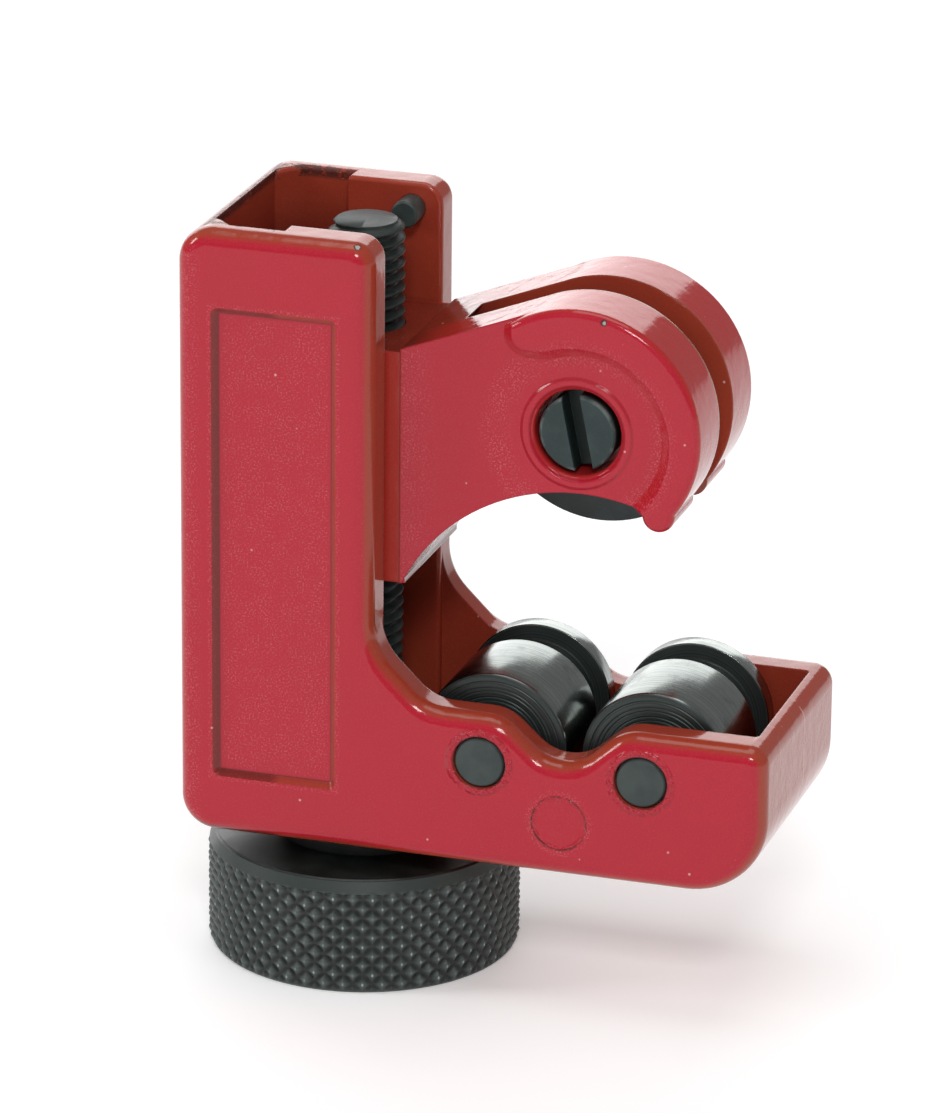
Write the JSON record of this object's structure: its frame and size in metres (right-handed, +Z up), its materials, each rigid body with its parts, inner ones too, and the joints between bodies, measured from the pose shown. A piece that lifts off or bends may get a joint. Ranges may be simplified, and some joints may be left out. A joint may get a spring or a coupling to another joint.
{
  "type": "pipe cutter",
  "caption": "Small screw-feed tube cutter: hollow cast frame with a roller arm, a sliding carriage with a cutting wheel, and a knurled feed knob.",
  "frame": {"origin": "centre of the knob's flat end face, on the feed screw's axis; the tool stands on this face", "axes": "+Z up the feed screw, +X towards the end of the roller arm, +Y across the frame to its back side face"},
  "size_m": [0.0483, 0.025, 0.0611],
  "materials": {
    "red_paint": "gloss enamel on a die casting",
    "black_steel": "black oxide",
    "turned_steel": "turned bright steel"
  },
  "bodies": {
    "frame": {"frame": "red_paint", "stop_pin": "black_steel", "inner_roller_pin": "black_steel", "outer_roller_pin": "black_steel"},
    "feed": {"feed_screw": "black_steel", "knob": "black_steel", "thrust_washer": "turned_steel", "retaining_clip": "black_steel"},
    "carriage": {"slide": "red_paint", "wheel_screw": "black_steel"},
    "wheel": {"cutter_wheel": "black_steel"},
    "inner_roller": {"inner_roller": "turned_steel"},
    "outer_roller": {"outer_roller": "turned_steel"}
  },
  "joints": [
    {"name": "knob_turn", "type": "hinge", "parent": "frame", "child": "feed", "pos_m": [0, 0, 0], "axis": [0, 0, 1], "range_deg": [-2162, 4394]},
    {"name": "carriage_feed", "type": "slide", "parent": "frame", "child": "carriage", "axis": [0, 0, 1], "range_m": [-0.0122, 0.006]},
    {"name": "wheel_spin", "type": "hinge", "parent": "carriage", "child": "wheel", "pos_m": [0.01922, 0, 0.04668], "axis": [0, 1, 0], "continuous": true},
    {"name": "inner_roller_spin", "type": "hinge", "parent": "frame", "child": "inner_roller", "pos_m": [0.01286, 0, 0.0203], "axis": [0, 1, 0], "continuous": true},
    {"name": "outer_roller_spin", "type": "hinge", "parent": "frame", "child": "outer_roller", "pos_m": [0.0259, 0, 0.0203], "axis": [0, 1, 0], "continuous": true}
  ],
  "couplings": [
    {"joint": "knob_turn", "follows": "carriage_feed", "rad_per_m": -6283.2}
  ]
}
